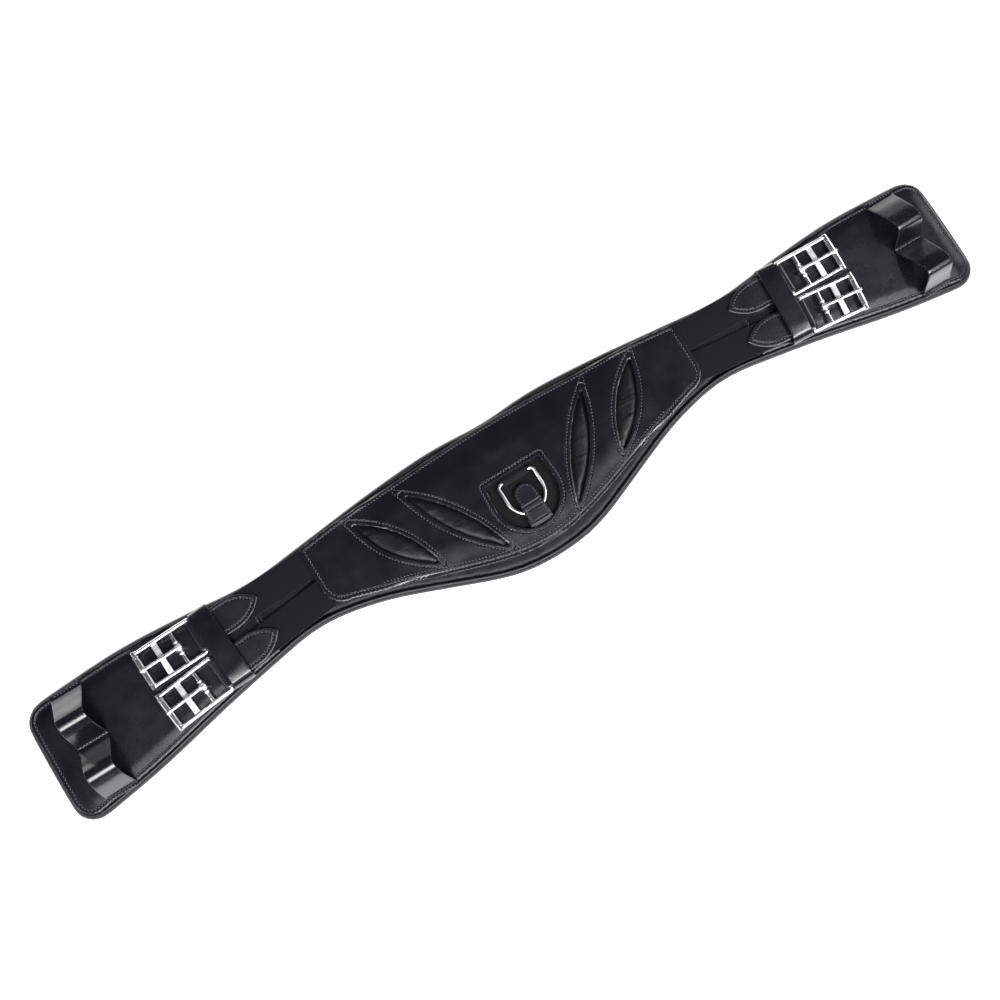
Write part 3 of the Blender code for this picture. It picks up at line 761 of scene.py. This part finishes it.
def bent_wire(outline, radius, corner, steps):
    """Turns a flat outline into closed wire, with its corners rounded."""
    open_up(outline)
    bpy.ops.mesh.select_all(action="SELECT")
    bpy.ops.mesh.bevel(offset=corner, segments=steps, affect="VERTICES")
    bpy.ops.mesh.delete(type="ONLY_FACE")
    bpy.ops.object.mode_set(mode="OBJECT")
    bpy.ops.object.convert(target="CURVE")
    outline.data.bevel_depth = radius
    outline.data.bevel_resolution = 5
    bpy.ops.object.convert(target="MESH")


def turned(name, profile, place, sides=32):
    """A piece turned on the Y axis, from places along it and radii there, in millimetres."""
    first_y, first_r = profile[0]
    bpy.ops.mesh.primitive_circle_add(vertices=sides, radius=first_r * mm, fill_type="NGON",
                                      location=(place[0], first_y * mm, place[1]),
                                      rotation=(math.pi / 2, 0, 0))
    piece = bpy.context.object
    piece.name = name
    bpy.ops.object.transform_apply()
    bpy.ops.object.mode_set(mode="EDIT")
    bpy.ops.mesh.select_all(action="SELECT")
    for (y, r), (next_y, next_r) in zip(profile, profile[1:]):
        bpy.ops.mesh.extrude_region_move(TRANSFORM_OT_translate={"value": (0, (next_y - y) * mm, 0)})
        bpy.ops.transform.resize(value=(next_r / r, 1, next_r / r),
                                 center_override=(place[0], next_y * mm, place[1]))
    bpy.ops.mesh.select_all(action="SELECT")
    bpy.ops.mesh.normals_make_consistent(inside=False)
    bpy.ops.object.mode_set(mode="OBJECT")
    return piece


def join_up(name, pieces):
    pick_up(pieces[0])
    for piece in pieces:
        piece.select_set(True)
    bpy.ops.object.join()
    bpy.context.object.name = name
    return bpy.context.object


bpy.ops.mesh.primitive_plane_add(size=1, location=(ROLLER_X / 2, 0, 0))
rail = bpy.context.object
rail.scale = (ROLLER_X, 2 * BUCKLE_HALF, 1)
bpy.ops.object.transform_apply()
bent_wire(rail, BAR, 1.3 * mm, 4)
tongue_bar = turned("tongue_bar", [(-13.6, 1.5), (-5.6, 1.5), (-5.4, 2.2), (-4.6, 2.5), (-3.8, 2.2),
                                   (-3.5, 1.5), (3.5, 1.5), (3.8, 2.2), (4.6, 2.5), (5.4, 2.2),
                                   (5.6, 1.5), (13.6, 1.5)],
                    (TONGUE_X, 0))
bosses = [turned("boss", [(side * 14.1 - 1.9, 1.9), (side * 14.1 - 1.7, 2.15), (side * 14.1 + 1.7, 2.15),
                          (side * 14.1 + 1.9, 1.9)], (ROLLER_X, 0)) for side in (-1, 1)]
bpy.ops.mesh.primitive_cube_add(size=1, location=(FLAT_X, 0, -1.275 * mm))
flat_bar = bpy.context.object
flat_bar.scale = (4.4 * mm, 2 * BUCKLE_HALF, 1.45 * mm)
bpy.ops.object.transform_apply()
work(flat_bar, "BEVEL", width=0.3 * mm, segments=3)
satin = flat_bar.data.attributes.new("satin", "FLOAT", "POINT")
satin.data.foreach_set("value", [1.0] * len(flat_bar.data.vertices))
buckle_frame = join_up("buckle_frame", [rail, tongue_bar, *bosses, flat_bar])

roller = turned("buckle_roller", [(-12.1, 2.3), (-11.9, 2.6), (-10.7, 2.6), (-10.5, 2.25), (-9.9, 2.25),
                                  (-9.7, 2.5), (9.7, 2.5), (9.9, 2.25), (10.5, 2.25), (10.7, 2.6),
                                  (11.9, 2.6), (12.1, 2.3)], (ROLLER_X, 0))

tongue_path = [(-2.4, 2.4), (-0.6, 3.3), (3.0, 3.45), (8.0, 3.3), (15.0, 3.05), (22.0, 3.2), (27.0, 4.1),
               (30.0, 4.4), (31.4, 4.3)]
wire = row_of([(TONGUE_X / mm + x, 0, z) for x, z in tongue_path])
bpy.ops.object.convert(target="CURVE")
wire.data.bevel_depth = TONGUE_WIRE
wire.data.bevel_resolution = 5
wire.data.use_fill_caps = True
bpy.ops.object.convert(target="MESH")
hub = turned("hub", [(-2.6, 2.6), (-2.4, 3.3), (-1.4, 3.6), (1.4, 3.6), (2.4, 3.3), (2.6, 2.6)],
             (TONGUE_X, 0))
tongue = join_up("buckle_tongue", [wire, hub])
remesh(tongue, 0.35, 6)

buckle_steel = steel("buckle_steel", 0.22)
for name, stand in stands.items():
    for model, body in ((buckle_frame, "buckle"), (roller, "roller"), (tongue, "tongue")):
        made = model.copy()
        made.data = model.data.copy()
        made.name = f"{model.name}_{name}_bright"
        made.data.transform(stand)
        scene.collection.objects.link(made)
        belongs(made, buckle_steel, "steel", f"{body}_{name}", f"{model.name}_{name}")
throw_away([buckle_frame, roller, tongue])


# ---------------------------------------------------------------- strap keepers
# A keeper is a band of leather that stands on the end panel and goes over both chapes.  Its ends
# are bent down and sewn to the panel's edges.

def bent_strip(name, path, widths, thick, place, turn=0.0):
    """A leather strip bent along (Y, Z) points, extruded from edge to edge and then thickened."""
    bpy.ops.mesh.primitive_plane_add(size=1)
    strip = bpy.context.object
    strip.name = name
    mesh = open_up(strip, "VERT")
    for vert in mesh.verts:
        vert.select = vert.co.y > 0
    bpy.ops.mesh.delete(type="VERT")
    bpy.ops.mesh.select_all(action="SELECT")
    bpy.ops.transform.translate(value=(0, 0.5 + path[0][0] * mm, path[0][1] * mm))
    bpy.ops.transform.resize(value=(widths[0] * mm, 1, 1), center_override=(0, 0, 0))
    for i in range(1, len(path)):
        step = (0, (path[i][0] - path[i - 1][0]) * mm, (path[i][1] - path[i - 1][1]) * mm)
        bpy.ops.mesh.extrude_edges_move(TRANSFORM_OT_translate={"value": step})
        bpy.ops.transform.resize(value=(widths[i] / widths[i - 1], 1, 1), center_override=(0, 0, 0))
    bpy.ops.mesh.select_all(action="SELECT")
    bpy.ops.mesh.subdivide(number_cuts=1)
    bpy.ops.object.mode_set(mode="OBJECT")
    edges = strip.copy()
    edges.data = strip.data.copy()
    scene.collection.objects.link(edges)
    mesh = open_up(edges, "EDGE")
    for line in mesh.edges:
        line.select = not line.is_boundary
    bpy.ops.mesh.delete(type="EDGE")
    bpy.ops.object.mode_set(mode="OBJECT")
    rim = tree_of([edges])
    throw_away([edges])
    work(strip, "SOLIDIFY", thickness=thick * mm, offset=0, use_even_offset=True)
    work(strip, "BEVEL", width=0.45 * mm, segments=2, limit_method="ANGLE",
         angle_limit=math.radians(60))
    work(strip, "SUBSURF", levels=2, render_levels=2)
    mark_edge(strip, rim)
    strip.data.transform(Matrix.Translation(place) @ Matrix.Rotation(turn, 4, "Z"))
    return strip


def arc(centre, radius, first, last, pieces):
    turns = [math.radians(first + (last - first) * i / pieces) for i in range(pieces + 1)]
    return [(centre[0] + radius * math.cos(a), centre[1] + radius * math.sin(a)) for a in turns]


band_hide = leather("band_hide", (0.0036, 0.0042, 0.0062), 0.23, grain=0.5, coat=0.3)
KEEPER_THICK = 1.7
KEEPER_WIDTH, KEEPER_REAR_WIDTH = 16.6, 15.2        # narrower at the rear, clear of the buckle
KEEPER_FRONT, KEEPER_REAR = -17.25, 46.85           # the middle of the leather at both ends
KEEPER_X, KEEPER_TURN = 249.8, -4.2                 # along the girth, and degrees round
seat_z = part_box("strap_keeper_right")[0].z / mm
crown_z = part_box("strap_keeper_right")[1].z / mm - KEEPER_THICK / 2
FRONT_BEND, REAR_BEND = crown_z - seat_z - 2.0, 4.6
path = ([(KEEPER_FRONT, seat_z), (KEEPER_FRONT, seat_z + 1.5)]
        + arc((KEEPER_FRONT + FRONT_BEND, crown_z - FRONT_BEND), FRONT_BEND, 180, 90, 6)
        + [(2, crown_z), (16, crown_z + 0.1), (30, crown_z)]
        + arc((KEEPER_REAR - REAR_BEND, crown_z - REAR_BEND), REAR_BEND, 90, 0, 5)
        + [(KEEPER_REAR, seat_z + 1.5), (KEEPER_REAR, seat_z)])
widths = [KEEPER_WIDTH] * (len(path) - 6) + [KEEPER_REAR_WIDTH] * 6
for side, sign in (("left", -1), ("right", 1)):
    keeper = bent_strip(f"strap_keeper_{side}_leather", path, widths, KEEPER_THICK,
                        (sign * KEEPER_X * mm, 0, 0), math.radians(KEEPER_TURN * sign))
    lower(keeper, end_rims[side], CROWN)
    belongs(keeper, band_hide, "leather", "girth", f"strap_keeper_{side}")


# ---------------------------------------------------------------- billet loops
# One strip of leather at each end is sewn down at both edges of the girth and in the middle, and
# stands up in two loops that hold the billets' ends.  The strip is pinched narrower where it rises.

LOOP_THICK, LOOP_WIDTH = 1.6, 25.0
LOOP_PINCH, LOOP_LEAN = 3.5, 3      # how much narrower a loop is at its top, and how far it leans
LOOP_CURVE = [(0.0, 0.0), (0.1, 0.16), (0.25, 0.45), (0.4, 0.75), (0.5, 0.91), (0.6, 1.0), (0.7, 0.93),
              (0.8, 0.68), (0.9, 0.33), (1.0, 0.0)]     # share of a loop's width, and of its height
rear, centre, front = 45.3, 3.8, -37.7                  # where the strip is sewn down
for side, sign in (("left", -1), ("right", 1)):
    low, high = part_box(f"billet_loops_{side}")
    level = low.z / mm + LOOP_THICK / 2
    rise = (high.z - low.z) / mm - LOOP_THICK
    path, widths = [(rear + 2.5, level), (rear, level)], [LOOP_WIDTH] * 2
    for start, end in ((rear - 1, centre + 1.2), (centre - 1.2, front + 1)):
        for across, height in LOOP_CURVE:
            lean = sign * LOOP_LEAN * height ** 2
            path.append((start + (end - start) * across - lean, level + rise * height))
            widths.append(LOOP_WIDTH - LOOP_PINCH * height)
    path += [(front, level), (front - 2.5, level)]
    widths += [LOOP_WIDTH] * 2
    loops = bent_strip(f"billet_loops_{side}_leather", path, widths, LOOP_THICK,
                       ((low.x + high.x) / 2, 0, 0))
    lower(loops, end_rims[side], CROWN)
    belongs(loops, band_hide, "leather", "girth", f"billet_loops_{side}")
    seats = [row_of([(low.x / mm + 3, y, level + 3), (high.x / mm - 3, y, level + 3)])
             for y in (rear + 1.3, centre, front - 1.3)]
    sew(f"billet_loop_stitching_{side}", seats, loops, "girth")

throw_away([stitch])
